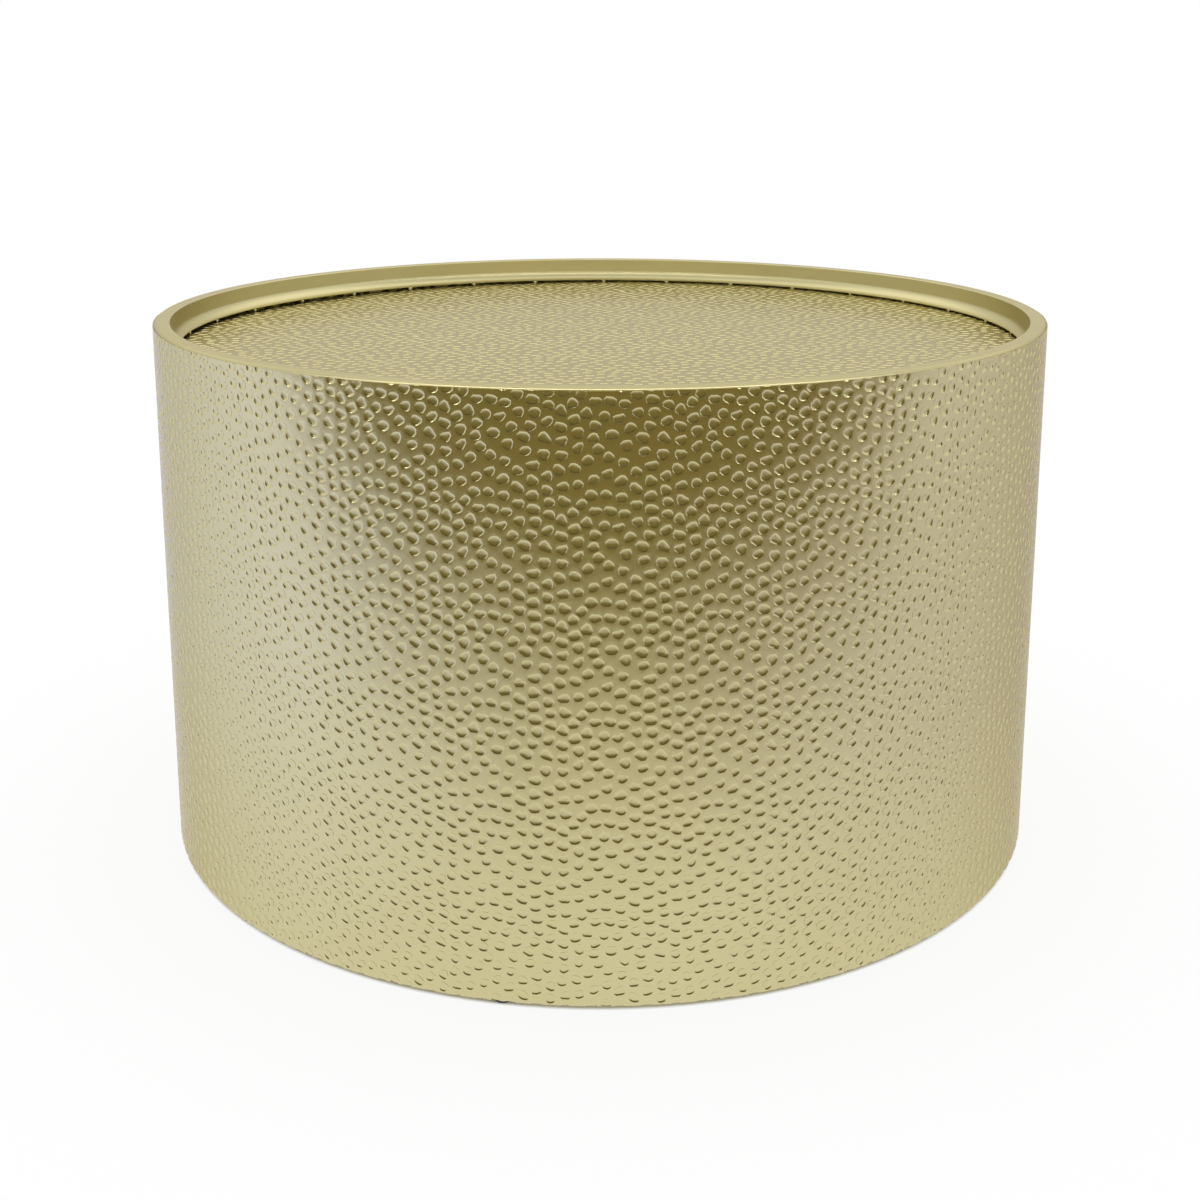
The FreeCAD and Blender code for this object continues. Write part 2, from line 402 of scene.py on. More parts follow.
def new_piece(name, shape, body="table"):
    """A finished bmesh as an object at the origin that rides on a CAD body."""
    mesh = bpy.data.meshes.new(name)
    for layer in shape.faces.layers.int.values():
        shape.faces.layers.int.remove(layer)
    for face in shape.faces:
        face.smooth = True
    for edge in shape.edges:
        edge.smooth = edge.calc_face_angle(0) < sharp_angle
    shape.to_mesh(mesh)
    shape.free()
    piece = bpy.data.objects.new(name, mesh)
    bpy.context.scene.collection.objects.link(piece)
    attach(piece, body)
    flat_faces = piece.modifiers.new("keep_flats_flat", "WEIGHTED_NORMAL")
    flat_faces.mode = "FACE_AREA"
    flat_faces.weight = flat_weight
    flat_faces.keep_sharp = True
    return piece


def triangles_in(piece):
    return sum(len(face.vertices) - 2 for face in piece.data.polygons)


def side_piece(number, first_column, last_column):
    starts = first_column == 0
    ends = last_column == columns_in_strip
    sheet = bmesh.new()
    for column in range(first_column - (1 if starts else 0), last_column + (1 if ends else 0)):
        add_mesh(sheet, column_mesh, Vector((column * patch_width, 0, 0)))
    bmesh.ops.remove_doubles(sheet, verts=sheet.verts[:], dist=near)
    if starts:
        trim(sheet, 0, seam_gap / 2, True)
        bmesh.ops.triangle_fill(sheet, use_beauty=True, edges=cut_edges(sheet, 0, seam_gap / 2))
    if ends:
        trim(sheet, 0, strip_length - seam_gap / 2, False)
        bmesh.ops.triangle_fill(sheet, use_beauty=True,
                                edges=cut_edges(sheet, 0, strip_length - seam_gap / 2))
    for corner in sheet.verts:
        corner.co = rolled(corner.co)
    piece = new_piece(f"side_sheet_{number}", sheet)
    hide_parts("side_shell")
    return piece


side_pieces = []
for first_column in range(0, columns_in_strip, columns_in_piece):
    last_column = min(first_column + columns_in_piece, columns_in_strip)
    side_pieces.append(side_piece(len(side_pieces) + 1, first_column, last_column))
for piece in side_pieces:
    print(piece.name, "triangles", triangles_in(piece))

# %% [markdown]
# ## The sunken top
#
# The top is a disc of the same sheet, pressed more lightly, that lies just under the rim. Whole cells
# are kept as far as the rim hides their ragged edge, in four quarters to keep the meshes light, and a
# plain border fills the rest of the disc out to its round cut edge. Thin sheet never lies quite flat:
# this disc stands a little high, and dips at the left where the gap under the rim is wider.

# %% Lay out the top panel
border_width = 8 * mm
border_start = panel_radius - border_width
panel_shift = Vector((23 * mm, 31 * mm, 0))
panel_turn = Matrix.Rotation(math.radians(213), 3, "Z")
panel_rise = 1.6 * mm
panel_dip = 1.7 * mm
dip_angle = math.radians(244)
panel_sway = 0.2 * mm
panel_sway_scale = 7.0
panel_sway_layer = 0.3
panel_press = 0.62
border_sides = 240
patches_out = math.ceil(panel_radius / min(patch_width, patch_height)) + 1


def panel_lift(point):
    """How far the real disc stands above or below the drawn one."""
    reach = math.hypot(point.x, point.y) / panel_radius
    angle = math.atan2(point.x, -point.y)
    dip = max(0, math.cos(angle - dip_angle)) ** 2 * reach ** 2
    sway = noise.noise(Vector((point.x, point.y, panel_sway_layer)) * panel_sway_scale)
    return panel_rise - panel_dip * dip + panel_sway * sway


def settle_panel(shape):
    for corner in shape.verts:
        corner.co = panel_turn @ corner.co
        corner.co.z += panel_high.z + panel_lift(corner.co)


def kept_cells(patch_mesh, wanted, level):
    """A copy of a patch that has only the wanted dents, made shallower towards its level."""
    patch = bmesh.new()
    patch.from_mesh(patch_mesh)
    dent_number = patch.faces.layers.int["dent"]
    unwanted = [face for face in patch.faces if face[dent_number] not in wanted]
    bmesh.ops.delete(patch, geom=unwanted, context="FACES")
    for corner in patch.verts:
        corner.co.z = level + (corner.co.z - level) * panel_press
    made = bpy.data.meshes.new("kept_cells")
    patch.to_mesh(made)
    patch.free()
    return made


def panel_quarter(side, depth):
    """The flat cells of one quarter: side is 1 for the right, depth is 1 for the back."""
    sheet = bmesh.new()
    for column in range(-patches_out, patches_out):
        for row in range(-patches_out, patches_out):
            shift = panel_shift + Vector((column * patch_width, row * patch_height, 0))
            wanted = set()
            for index, place in enumerate(dent_places):
                spot = place + shift
                if spot.length < border_start and spot.x * side >= 0 and spot.y * depth >= 0:
                    wanted.add(index)
            if wanted:
                add_mesh(sheet, kept_cells(face_patch, wanted, 0), shift)
                add_mesh(sheet, kept_cells(back_patch, wanted, -sheet_thickness), shift)
    bmesh.ops.remove_doubles(sheet, verts=sheet.verts[:], dist=near)
    return sheet


def panel_border(quarters):
    """The plain ring between the ragged edge of the cells and the round edge of the disc."""
    ring = bmesh.new()
    for quarter in quarters:
        flat = bpy.data.meshes.new("flat_quarter")
        quarter.to_mesh(flat)
        ring.from_mesh(flat)
    bmesh.ops.remove_doubles(ring, verts=ring.verts[:], dist=near)
    inner_edges = [edge for edge in ring.edges if edge.is_boundary]
    kept = set(inner_edges)
    bmesh.ops.delete(ring, geom=ring.faces[:], context="FACES_ONLY")
    bmesh.ops.delete(ring, geom=[edge for edge in ring.edges if edge not in kept], context="EDGES")
    round_edges = []
    for height in (0, -sheet_thickness):
        circle = bmesh.ops.create_circle(ring, segments=border_sides, radius=panel_radius,
                                         matrix=Matrix.Translation((0, 0, height)))["verts"]
        outer = list({edge for corner in circle for edge in corner.link_edges})
        inner = [edge for edge in inner_edges if abs(edge.verts[0].co.z - height) < near]
        filled = bmesh.ops.triangle_fill(ring, use_beauty=True, edges=outer + inner, normal=(0, 0, 1))
        faces = [item for item in filled["geom"] if isinstance(item, bmesh.types.BMFace)]
        ring.normal_update()
        upward = 1 if height == 0 else -1
        bmesh.ops.reverse_faces(ring, faces=[face for face in faces if face.normal.z * upward < 0])
        round_edges += outer
    bmesh.ops.bridge_loops(ring, edges=round_edges)
    return ring


flat_quarters = []
for side, depth in ((1, -1), (1, 1), (-1, 1), (-1, -1)):
    flat_quarters.append(panel_quarter(side, depth))
panel_shapes = flat_quarters + [panel_border(flat_quarters)]
panel_names = ["top_sheet_1", "top_sheet_2", "top_sheet_3", "top_sheet_4", "top_border"]
panel_pieces = []
for name, shape in zip(panel_names, panel_shapes):
    settle_panel(shape)
    piece = new_piece(name, shape)
    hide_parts("top_panel")
    panel_pieces.append(piece)
    print(piece.name, "triangles", triangles_in(piece))

# %% [markdown]
# ## The rim
#
# The rim is a ring of narrow channel, open side down, with a soft outer edge that catches the light.
# The foot of its inner leg is bent in to a lip, and the wide cove of that bend shades the wall from
# dark to light. The section is drawn once, spun round the drum's middle, and bevelled.

# %% Spin the rim
rim_wall = 1.2 * mm
rim_outer_round = 2.6 * mm
rim_inner_round = 0.8 * mm
rim_lip_turn = math.radians(65)
rim_lip_length = 7.0 * mm
rim_lip_round = 9.0 * mm
rim_steps = 288
round_segments = 6


def ring_edges(shape, radius, height):
    """The edges that run round the drum at one radius and height."""
    found = []
    for edge in shape.edges:
        ends = [corner.co for corner in edge.verts]
        at_height = all(abs(end.z - height) < near for end in ends)
        at_radius = all(abs(math.hypot(end.x, end.y) - radius) < near for end in ends)
        if at_height and at_radius:
            found.append(edge)
    return found


def round_ring(shape, radius, height, size):
    """A corner of the section rounded off, starting at a distance of size to both sides of it."""
    bmesh.ops.bevel(shape, geom=ring_edges(shape, radius, height), offset=size, affect="EDGES",
                    segments=round_segments, profile=0.5, material=-1)


def rim_shape():
    """The rim's section, drawn from its outer foot over the top and down to the lip and back, and spun."""
    inner_radius = rim_radius - rim_width
    top = rim_high.z
    foot = rim_low.z
    lip_edge = foot + rim_wall * math.sin(rim_lip_turn)
    bend = lip_edge + rim_lip_length * math.cos(rim_lip_turn)
    setback = math.tan(rim_lip_turn / 2)
    back_bend = bend - rim_wall * setback
    lip_radius = inner_radius - rim_lip_length * math.sin(rim_lip_turn)
    section = [(rim_radius, foot), (rim_radius, top), (inner_radius, top), (inner_radius, bend),
               (lip_radius, lip_edge), (lip_radius + rim_wall * math.cos(rim_lip_turn), foot),
               (inner_radius + rim_wall, back_bend), (inner_radius + rim_wall, top - rim_wall),
               (rim_radius - rim_wall, top - rim_wall), (rim_radius - rim_wall, foot)]
    shape = bmesh.new()
    corners = [shape.verts.new((radius, 0, height)) for radius, height in section]
    for index, corner in enumerate(corners):
        shape.edges.new((corner, corners[index - 1]))
    bmesh.ops.spin(shape, geom=shape.verts[:] + shape.edges[:], cent=(0, 0, 0), axis=(0, 0, 1),
                   angle=2 * math.pi, steps=rim_steps, use_merge=True)
    bmesh.ops.recalc_face_normals(shape, faces=shape.faces[:])
    round_ring(shape, rim_radius, top, rim_outer_round)
    round_ring(shape, inner_radius, top, rim_inner_round)
    round_ring(shape, inner_radius, bend, rim_lip_round * setback)
    round_ring(shape, inner_radius + rim_wall, back_bend, (rim_lip_round + rim_wall) * setback)
    return shape


rim = new_piece("rim", rim_shape())
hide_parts("rim_ring")
print("rim triangles", triangles_in(rim))

# %% [markdown]
# ## The weld blobs under the rim
#
# The rim is tacked to the top by small blobs of weld. Each is a low sphere, squashed and dented a
# little by chance, and they are spread round by turning, each set halfway between panel and lip.

# %% Put the weld blobs round
tack_count = 32
first_tack = math.radians(-0.5)
tack_size = Vector((2.0, 0.9, 1.6)) * mm
tack_inset = 4.6 * mm
tack_dent = 0.18
tack_dent_scale = 1.4
tack_dent_step = 3.1
tack_wander = 0.004
tack_growth = (0.8, 1.25)
tack_chance = random.Random(5)


def tack_blobs():
    blobs = bmesh.new()
    ring_radius = rim_radius - rim_width - tack_inset
    for index in range(tack_count):
        angle = first_tack + 2 * math.pi * index / tack_count + tack_chance.gauss(0, tack_wander)
        place = Vector((math.sin(angle) * ring_radius, -math.cos(angle) * ring_radius, 0))
        place.z = (panel_high.z + panel_lift(place) + rim_low.z) / 2
        grow = tack_chance.uniform(*tack_growth)
        stretch = Matrix.Diagonal((tack_size.x * grow, tack_size.y, tack_size.z * grow, 1))
        turn = Matrix.Rotation(angle, 4, "Z")
        blob = bmesh.ops.create_icosphere(blobs, subdivisions=2, radius=1)["verts"]
        for corner in blob:
            dent_place = corner.co * tack_dent_scale + Vector((index * tack_dent_step, 0, 0))
            corner.co *= 1 + tack_dent * noise.noise(dent_place)
        bmesh.ops.transform(blobs, verts=blob, matrix=Matrix.Translation(place) @ turn @ stretch)
    return blobs


tacks = new_piece("panel_tacks", tack_blobs())
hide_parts("panel_tack_welds")
print("weld blobs", tack_count, "triangles", triangles_in(tacks))

# %% [markdown]
# ## Shared effects for the finishes
#
# Three effects turn up in several finishes, so each is a node group with its own dials. Sprayed
# paint dries with a faint orange-peel ripple and a grain of metal flakes. Handling rubs the paint
# brighter on corners that stick out, and that brighter edge is also a painted highlight. A little
# dust settles on faces that look up.

# %% Build the shared node groups
cloud_scale = 5
dust_slope_power = 4.0


def new_group(name, inputs, outputs):
    """An empty node group with named number inputs and outputs, and its two end nodes."""
    group = bpy.data.node_groups.new(name, "ShaderNodeTree")
    for socket, value in inputs.items():
        made = group.interface.new_socket(socket, in_out="INPUT", socket_type="NodeSocketFloat")
        made.default_value = value
    for socket in outputs:
        group.interface.new_socket(socket, in_out="OUTPUT", socket_type="NodeSocketFloat")
    return group, group.nodes.new("NodeGroupInput"), group.nodes.new("NodeGroupOutput")


def add_math(nodes, links, operation, first, second):
    """A Math node whose two values are sockets or plain numbers."""
    made = nodes.new("ShaderNodeMath")
    made.operation = operation
    for socket, value in zip(made.inputs, (first, second)):
        if isinstance(value, (int, float)):
            socket.default_value = value
        else:
            links.new(value, socket)
    return made.outputs[0]


def add_noise(nodes, links, scale, detail, roughness=0.5):
    """A noise on Object coordinates, in cells per metre."""
    place = nodes.new("ShaderNodeTexCoord")
    made = nodes.new("ShaderNodeTexNoise")
    made.inputs["Detail"].default_value = detail
    made.inputs["Roughness"].default_value = roughness
    links.new(place.outputs["Object"], made.inputs["Vector"])
    if isinstance(scale, (int, float)):
        made.inputs["Scale"].default_value = scale
    else:
        links.new(scale, made.inputs["Scale"])
    return made.outputs["Fac"]


def spray_group():
    group, start, end = new_group(
        "sprayed_surface", {"Ripple Scale": 260, "Flake Scale": 2600, "Flake Share": 0.25},
        ["Height", "Flakes", "Clouds"])
    nodes, links = group.nodes, group.links
    ripple = add_noise(nodes, links, start.outputs["Ripple Scale"], detail=1)
    flakes = add_noise(nodes, links, start.outputs["Flake Scale"], detail=0)
    clouds = add_noise(nodes, links, cloud_scale, detail=2)
    weighed = add_math(nodes, links, "MULTIPLY", flakes, start.outputs["Flake Share"])
    links.new(add_math(nodes, links, "ADD", ripple, weighed), end.inputs["Height"])
    links.new(flakes, end.inputs["Flakes"])
    links.new(clouds, end.inputs["Clouds"])
    return group


# Corners that stand out turn brighter: rubbed paint, and a painted highlight on those corners.
def make_rub_and_highlight_group():
    group, start, end = new_group("rubbed_and_highlit_edges", {"Start": 0.53, "Width": 0.06, "Breakup": 60}, ["Mask"])
    nodes, links = group.nodes, group.links
    shape = nodes.new("ShaderNodeNewGeometry")
    sharp = add_math(nodes, links, "SUBTRACT", shape.outputs["Pointiness"], start.outputs["Start"])
    share = add_math(nodes, links, "DIVIDE", sharp, start.outputs["Width"])
    patches = add_noise(nodes, links, start.outputs["Breakup"], detail=3)
    uneven = add_math(nodes, links, "MULTIPLY", share, patches)
    low = add_math(nodes, links, "MAXIMUM", uneven, 0.0)
    links.new(add_math(nodes, links, "MINIMUM", low, 1.0), end.inputs["Mask"])
    return group


def dust_group():
    group, start, end = new_group("settled_dust", {"Amount": 0.1, "Scale": 35}, ["Mask"])
    nodes, links = group.nodes, group.links
    shape = nodes.new("ShaderNodeNewGeometry")
    parts = nodes.new("ShaderNodeSeparateXYZ")
    links.new(shape.outputs["Normal"], parts.inputs[0])
    facing_up = add_math(nodes, links, "MAXIMUM", parts.outputs["Z"], 0.0)
    level = add_math(nodes, links, "POWER", facing_up, dust_slope_power)
    patches = add_noise(nodes, links, start.outputs["Scale"], detail=5, roughness=0.65)
    uneven = add_math(nodes, links, "MULTIPLY", level, patches)
    links.new(add_math(nodes, links, "MULTIPLY", uneven, start.outputs["Amount"]), end.inputs["Mask"])
    return group


sprayed = spray_group()
rub_and_highlight_group = make_rub_and_highlight_group()
dust = dust_group()
print("node groups", [group.name for group in (sprayed, rub_and_highlight_group, dust)])

# %% [markdown]
# ## The gold paint
#
# The whole table is sprayed in one pale champagne gold: fine metal flakes under a thin clear layer.
# The flakes make it a metal with a soft sheen, and the clear layer adds the sharper, whiter shine
# on top. The rim is the same paint on smooth bar, with a softer sheen and a paler gold, partly rubbing
# and partly a painted highlight, on more of its edges, and the frame inside has a dustier coat of it.

# %% Mix the gold paint
gold = (0.62, 0.566, 0.319)
deep_gold = (0.59, 0.535, 0.292)
# Paler gold for corners that stand out: rubbed paint, and a painted highlight on them.
rubbed_and_highlight_gold = (0.66, 0.61, 0.38)
grazing_gold = (0.65, 0.61, 0.47)
dust_grey = (0.58, 0.55, 0.48)
flake_spread = 0.03


def new_finish(name):
    """A new material, its nodes and links, and the Principled shader that it starts with."""
    finish = bpy.data.materials.new(name)
    finish.use_nodes = True
    shader = finish.node_tree.nodes["Principled BSDF"]
    return finish, finish.node_tree.nodes, finish.node_tree.links, shader


def place_group(nodes, group, values):
    made = nodes.new("ShaderNodeGroup")
    made.node_tree = group
    for socket, value in values.items():
        made.inputs[socket].default_value = value
    return made.outputs


def mix_colours(nodes, links, mask, first, second):
    """first where the mask is 0 and second where it is 1. Each is a socket or a plain colour."""
    made = nodes.new("ShaderNodeMix")
    made.data_type = "RGBA"
    links.new(mask, made.inputs["Factor"])
    for socket, colour in ((made.inputs[6], first), (made.inputs[7], second)):
        if isinstance(colour, tuple):
            socket.default_value = (*colour, 1)
        else:
            links.new(colour, socket)
    return made.outputs[2]


def map_range(nodes, links, value, low, high):
    """A 0 to 1 value stretched to run from low to high."""
    made = nodes.new("ShaderNodeMapRange")
    links.new(value, made.inputs["Value"])
    made.inputs["To Min"].default_value = low
    made.inputs["To Max"].default_value = high
    return made.outputs["Result"]


def add_bump(nodes, links, shader, height, distance, strength):
    made = nodes.new("ShaderNodeBump")
    made.inputs["Distance"].default_value = distance
    made.inputs["Strength"].default_value = strength
    links.new(height, made.inputs["Height"])
    links.new(made.outputs["Normal"], shader.inputs["Normal"])


def gold_paint(name, roughness, ripple, rub_and_highlight_width, dustiness):
    """Satin champagne gold. Roughness is the flakes' softness, ripple the depth of the orange peel, and
    rub how far a corner has to stand out to turn the paler gold of rubbing and of a painted highlight."""
    finish, nodes, links, shader = new_finish(name)
    spray = place_group(nodes, sprayed, {})
    rub_and_highlight_mask = place_group(nodes, rub_and_highlight_group, {"Width": rub_and_highlight_width})["Mask"]
    dust_mask = place_group(nodes, dust, {"Amount": dustiness})["Mask"]
    cloudy = mix_colours(nodes, links, spray["Clouds"], deep_gold, gold)
    # Corners that stand out turn the paler gold: partly rubbed paint, partly a painted highlight.
    worn_and_highlit = mix_colours(nodes, links, rub_and_highlight_mask, cloudy, rubbed_and_highlight_gold)
    links.new(mix_colours(nodes, links, dust_mask, worn_and_highlit, dust_grey), shader.inputs["Base Color"])
    soft = map_range(nodes, links, spray["Flakes"], roughness - flake_spread, roughness + flake_spread)
    links.new(add_math(nodes, links, "ADD", soft, dust_mask), shader.inputs["Roughness"])
    shader.inputs["Metallic"].default_value = 1
    shader.inputs["Specular Tint"].default_value = (*grazing_gold, 1)
    shader.inputs["Coat Weight"].default_value = 0.12
    shader.inputs["Coat Roughness"].default_value = 0.12
    add_bump(nodes, links, shader, spray["Height"], distance=ripple, strength=0.5)
    return finish


finishes = {
    "embossed_sheet": gold_paint("sheet_paint", roughness=0.22, ripple=0.01 * mm, rub_and_highlight_width=0.5, dustiness=0.04),
    # The rim's narrow rub width spreads the painted edge highlight over more of its edges.
    "rim_paint": gold_paint("rim_paint", roughness=0.34, ripple=0.01 * mm, rub_and_highlight_width=0.08, dustiness=0.08),
    "frame_paint": gold_paint("frame_paint", roughness=0.3, ripple=0.02 * mm, rub_and_highlight_width=0.1, dustiness=0.2),
}
print("gold paints", sorted(finishes))

# %% [markdown]
# ## The finishes of the feet
#
# The studs and nuts are bright zinc with the cloudy look of plating. The pads are moulded black
# plastic with a fine grain, scuffed grey on their corners and dusty where they look up.

# %% Mix the zinc and the plastic
dull_zinc = (0.5, 0.51, 0.52)
bright_zinc = (0.66, 0.66, 0.64)
rubbed_zinc = (0.75, 0.75, 0.74)
zinc_grain = 0.02 * mm
plastic_black = (0.012, 0.012, 0.013)
scuffed_black = (0.05, 0.05, 0.05)
pad_dust = (0.2, 0.19, 0.18)
plastic_grain = 0.03 * mm


def zinc_plate():
    finish, nodes, links, shader = new_finish("zinc_plate")
    spray = place_group(nodes, sprayed, {"Ripple Scale": 900, "Flake Scale": 4000})
    rub_and_highlight_mask = place_group(nodes, rub_and_highlight_group, {})["Mask"]
    cloudy = mix_colours(nodes, links, spray["Clouds"], dull_zinc, bright_zinc)
    links.new(mix_colours(nodes, links, rub_and_highlight_mask, cloudy, rubbed_zinc), shader.inputs["Base Color"])
    links.new(map_range(nodes, links, spray["Flakes"], low=0.28, high=0.42), shader.inputs["Roughness"])
    shader.inputs["Metallic"].default_value = 1
    add_bump(nodes, links, shader, spray["Height"], distance=zinc_grain, strength=0.4)
    return finish


def black_plastic():
    finish, nodes, links, shader = new_finish("black_plastic")
    spray = place_group(nodes, sprayed, {"Ripple Scale": 1800, "Flake Scale": 5000, "Flake Share": 0.6})
    rub_and_highlight_mask = place_group(nodes, rub_and_highlight_group, {})["Mask"]
    dust_mask = place_group(nodes, dust, {"Amount": 0.35, "Scale": 120})["Mask"]
    scuffed = mix_colours(nodes, links, rub_and_highlight_mask, plastic_black, scuffed_black)
    links.new(mix_colours(nodes, links, dust_mask, scuffed, pad_dust), shader.inputs["Base Color"])
    links.new(map_range(nodes, links, spray["Flakes"], low=0.45, high=0.62), shader.inputs["Roughness"])
    add_bump(nodes, links, shader, spray["Height"], distance=plastic_grain, strength=0.6)
    return finish


finishes["zinc_steel"] = zinc_plate()
finishes["foot_plastic"] = black_plastic()
print("finishes", sorted(finishes))

# %% [markdown]
# ## Putting the finishes on
#
# Each CAD node takes the finish that the record names for it, and each new piece takes the finish of
# the node that it replaces.

# %% Put the finishes on
for part in frame["record"]["subparts"]:
    carried = frame["nodes"][part["node"]]
    carried.data.materials.clear()
    carried.data.materials.append(finishes[part["material_slot"]])
sheet_pieces = side_pieces + panel_pieces
smooth_pieces = [rim, tacks]
for piece in sheet_pieces:
    piece.data.materials.append(finishes["embossed_sheet"])
for piece in smooth_pieces:
    piece.data.materials.append(finishes["rim_paint"])
print("finishes on", len(frame["nodes"]), "CAD nodes and", len(sheet_pieces + smooth_pieces), "new pieces")

# %% [markdown]
# ## The papers and paints of the studio
#
# Smooth gold shows its surroundings, so the set is built for the reflections. The table stands on a
# sweep that shows as white to the camera and in mirrors. Near the table part of its true shading
# stays, for a soft shadow, and right under the drum all of it, for a dark line where the drum almost
# meets the floor. The other surfaces show only in the gold: a floor that is pale round the table and
# brown far out in front, a dark wall in front, a pale one behind, and a softbox overhead that is dim
# over the front of the table and has a bright strip along its front edge.

# %% Mix the papers and paints
paper_white = (0.86, 0.86, 0.86)
shadow_share = 0.15
shadow_start = 0.4
shadow_reach = 1.1
under_fade = 4 * mm
floor_pale = (1.0, 0.99, 0.97)
floor_brown = (0.26, 0.205, 0.06)
floor_grey = (0.85, 0.82, 0.93)
floor_cool = (1.0, 1.04, 1.36)
wall_brown = (0.145, 0.115, 0.042)
wall_foot = (0.24, 0.2, 0.09)
back_pale = (0.88, 0.865, 0.93)
softbox_white = (1.5, 1.48, 1.44)
softbox_grey = (0.66, 0.65, 0.62)
strip_white = (4.4, 4.3, 4.2)
# Each fade: the place along one axis where it starts and the place where it ends.
front_fade = (-0.5, -1.55)
right_fade = (0.1, 0.7)
left_fade = (-0.1, -0.9)
wall_fade = (0.9, 1.5)
softbox_fade = (0.1, 0.45)


def seen_ray(nodes, links):
    """1 for rays from the camera and for mirrored and transmitted rays, 0 for diffuse light."""
    path = nodes.new("ShaderNodeLightPath")
    seen = add_math(nodes, links, "MAXIMUM", path.outputs["Is Camera Ray"], path.outputs["Is Glossy Ray"])
    return add_math(nodes, links, "MAXIMUM", seen, path.outputs["Is Transmission Ray"])


def fade_mask(nodes, links, value, start, end):
    """0 up to the start of a fade and 1 from its end on."""
    fade = nodes.new("ShaderNodeMapRange")
    fade.inputs["From Min"].default_value = start
    fade.inputs["From Max"].default_value = end
    links.new(value, fade.inputs["Value"])
    return fade.outputs["Result"]


def place_parts(nodes, links):
    """The X, Y and Z sockets of the place on a set piece, and the place itself."""
    place = nodes.new("ShaderNodeTexCoord").outputs["Object"]
    parts = nodes.new("ShaderNodeSeparateXYZ")
    links.new(place, parts.inputs[0])
    return parts.outputs, place


def sweep_paper():
    """White to the camera and in mirrors, with some of its true shading kept near the table and all of it
    under the drum."""
    paper, nodes, links, shader = new_finish("sweep_paper")
    nodes.remove(shader)
    matte = nodes.new("ShaderNodeBsdfDiffuse")
    matte.inputs["Color"].default_value = (*paper_white, 1)
    white = nodes.new("ShaderNodeEmission")
    mix = nodes.new("ShaderNodeMixShader")
    _, place = place_parts(nodes, links)
    reach = nodes.new("ShaderNodeVectorMath")
    reach.operation = "LENGTH"
    links.new(place, reach.inputs[0])
    far = fade_mask(nodes, links, reach.outputs["Value"], shadow_start, shadow_reach)
    whiteness = map_range(nodes, links, far, 1 - shadow_share, 1.0)
    outside = fade_mask(nodes, links, reach.outputs["Value"], drum_radius - under_fade, drum_radius)
    shown = add_math(nodes, links, "MULTIPLY", whiteness, outside)
    links.new(add_math(nodes, links, "MULTIPLY", seen_ray(nodes, links), shown), mix.inputs[0])
    links.new(matte.outputs[0], mix.inputs[1])
    links.new(white.outputs[0], mix.inputs[2])
    links.new(mix.outputs[0], nodes["Material Output"].inputs["Surface"])
    return paper


def lit_paint(name, colour):
    """A paint that shows at its own brightness. Its nodes, links and colour come along for a fade."""
    paint, nodes, links, shader = new_finish(name)
    nodes.remove(shader)
    glow = nodes.new("ShaderNodeEmission")
    glow.inputs["Color"].default_value = (*colour, 1)
    links.new(glow.outputs[0], nodes["Material Output"].inputs["Surface"])
    return paint, nodes, links, glow.inputs["Color"]


def fading_floor():
    """Pale round the table, cool to the left, greyer to the right, and brown far out in front."""
    paint, nodes, links, colour = lit_paint("studio_floor", floor_pale)
    parts, _ = place_parts(nodes, links)
    right = fade_mask(nodes, links, parts["X"], *right_fade)
    front = fade_mask(nodes, links, parts["Y"], *front_fade)
    left = fade_mask(nodes, links, parts["X"], *left_fade)
    right_side = mix_colours(nodes, links, right, floor_pale, floor_grey)
    sides = mix_colours(nodes, links, left, right_side, floor_cool)
    links.new(mix_colours(nodes, links, front, sides, floor_brown), colour)
    return paint


def fading_wall():
    """Dark above, and a little paler at its foot."""
    paint, nodes, links, colour = lit_paint("studio_wall", wall_brown)
    parts, _ = place_parts(nodes, links)
    high = fade_mask(nodes, links, parts["Z"], *wall_fade)
    links.new(mix_colours(nodes, links, high, wall_foot, wall_brown), colour)
    return paint


def fading_softbox():
    """Bright over the back of the table and dimmer over its front."""
    paint, nodes, links, colour = lit_paint("softbox", softbox_white)
    parts, _ = place_parts(nodes, links)
    back = fade_mask(nodes, links, parts["Y"], *softbox_fade)
    links.new(mix_colours(nodes, links, back, softbox_grey, softbox_white), colour)
    return paint


set_paints = {
    "sweep": sweep_paper(),
    "studio_floor": fading_floor(),
    "studio_wall": fading_wall(),
    "studio_back": lit_paint("studio_back", back_pale)[0],
    "softbox": fading_softbox(),
    "strip_light": lit_paint("strip_light", strip_white)[0],
}
print("paints of the set", sorted(set_paints))

# %% [markdown]
# ## The sheets of the studio
#
# Each surface of the set is one flat rectangle. All but the sweep are hidden from the camera, cast no
# shadow and light nothing but the gold that mirrors them.

# %% Stand the sheets round the table
sweep_size = 16.0
sheet_gap = 1 * mm
upright = math.pi / 2
wall_distance = 3.2
wall_width = 10.0
wall_height = 7.5
back_distance = 3.5
back_width = 7.0
back_height = 2.2
softbox_height = 1.1
softbox_front = -0.7
softbox_back = 1.2
softbox_width = 2.2
softbox_depth = softbox_back - softbox_front
softbox_middle = (softbox_front + softbox_back) / 2
strip_depth = 0.2
strip_middle = softbox_front + strip_depth / 2


def set_sheet(name, place, turn, width, depth):
    """A unit square stretched to a rectangle of the set, turned about the X axis and laid with its middle
    at a place. It takes the paint of its own name."""
    shape = bmesh.new()
    laid = Matrix.Translation(place) @ Matrix.Rotation(turn, 4, "X") @ Matrix.Diagonal((width, depth, 1, 1))
    bmesh.ops.create_grid(shape, x_segments=1, y_segments=1, size=0.5, matrix=laid)
    mesh = bpy.data.meshes.new(name)
    shape.to_mesh(mesh)
    shape.free()
    mesh.materials.append(set_paints[name])
    made = bpy.data.objects.new(name, mesh)
    bpy.context.scene.collection.objects.link(made)
    return made


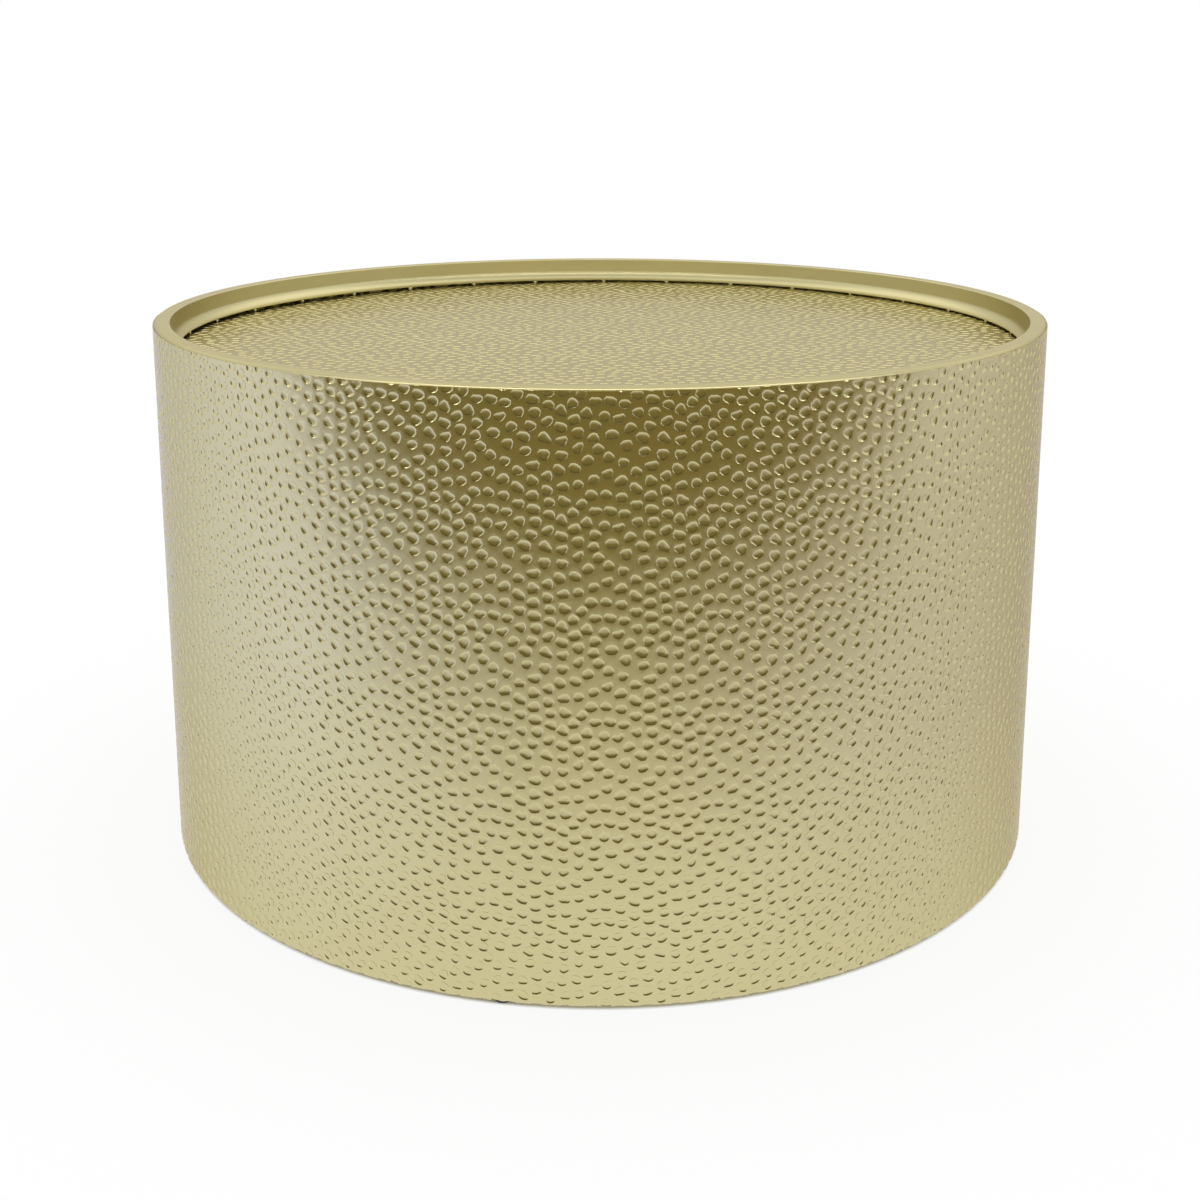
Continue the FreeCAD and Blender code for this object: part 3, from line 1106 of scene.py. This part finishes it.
set_sheet("sweep", (0, 0, 0), 0, sweep_size, sweep_size)
mirrored_sheets = [
    set_sheet("studio_floor", (0, 0, sheet_gap), 0, sweep_size, sweep_size),
    set_sheet("studio_wall", (0, -wall_distance, wall_height / 2), upright, wall_width, wall_height),
    set_sheet("studio_back", (0, back_distance, back_height / 2), upright, back_width, back_height),
    set_sheet("softbox", (0, softbox_middle, softbox_height), 0, softbox_width, softbox_depth),
    set_sheet("strip_light", (0, strip_middle, softbox_height - sheet_gap), 0, softbox_width, strip_depth),
]
for piece in mirrored_sheets:
    piece.visible_camera = False
    piece.visible_diffuse = False
    piece.visible_shadow = False
print("sheets that only gold shows", [piece.name for piece in mirrored_sheets])

# %% [markdown]
# ## Lamps and air
#
# One wide lamp overhead makes the soft shadow on the sweep. Three small fill lamps stand edge to edge
# over the front of the rim and face the back, so that the rim's inner wall at the back has something
# pale to mirror. The air is white, and a little dimmer where it only lights.

# %% Light the set
lamp_place = (0, -0.2, 2.8)
lamp_aim = (0, -0.2, 0)
lamp_width = 3.4
lamp_depth = 3.2
lamp_power = 36
# The fill lamps stand on a circle, a step apart, and each is as wide as it takes to meet the next.
fill_turns = (-1, 0, 1)
fill_step = math.radians(50)
fill_height = 0.58
fill_reach = 0.34
fill_width = 2 * fill_reach * math.tan(fill_step / 2)
fill_depth = 0.24
fill_power = 0.19
air_light = 0.9
air_seen = 1.0


def soft_lamp(name, place, aim, width, depth, power, mirrored):
    """A flat lamp turned towards its aim. The camera never sees it, and gold only if it is mirrored."""
    data = bpy.data.lights.new(name, "AREA")
    data.shape = "RECTANGLE"
    data.size = width
    data.size_y = depth
    data.energy = power
    lamp = bpy.data.objects.new(name, data)
    lamp.location = place
    lamp.rotation_euler = (Vector(aim) - Vector(place)).to_track_quat("-Z", "Y").to_euler()
    lamp.visible_camera = False
    lamp.visible_glossy = mirrored
    bpy.context.scene.collection.objects.link(lamp)


world = bpy.data.worlds.new("studio_air")
bpy.context.scene.world = world
world.use_nodes = True
air_nodes, air_links = world.node_tree.nodes, world.node_tree.links
seen = seen_ray(air_nodes, air_links)
strength = map_range(air_nodes, air_links, seen, air_light, air_seen)
air_links.new(strength, air_nodes["Background"].inputs["Strength"])
air_nodes["Background"].inputs["Color"].default_value = (1, 1, 1, 1)

soft_lamp("overhead_lamp", lamp_place, lamp_aim, lamp_width, lamp_depth, lamp_power, False)
for index, turn in enumerate(fill_turns):
    angle = turn * fill_step
    place = (math.sin(angle) * fill_reach, -math.cos(angle) * fill_reach, fill_height)
    aim = (0, 0, fill_height)
    soft_lamp(f"rim_fill_{index + 1}", place, aim, fill_width, fill_depth, fill_power, True)
bpy.context.scene.view_settings.view_transform = "Standard"
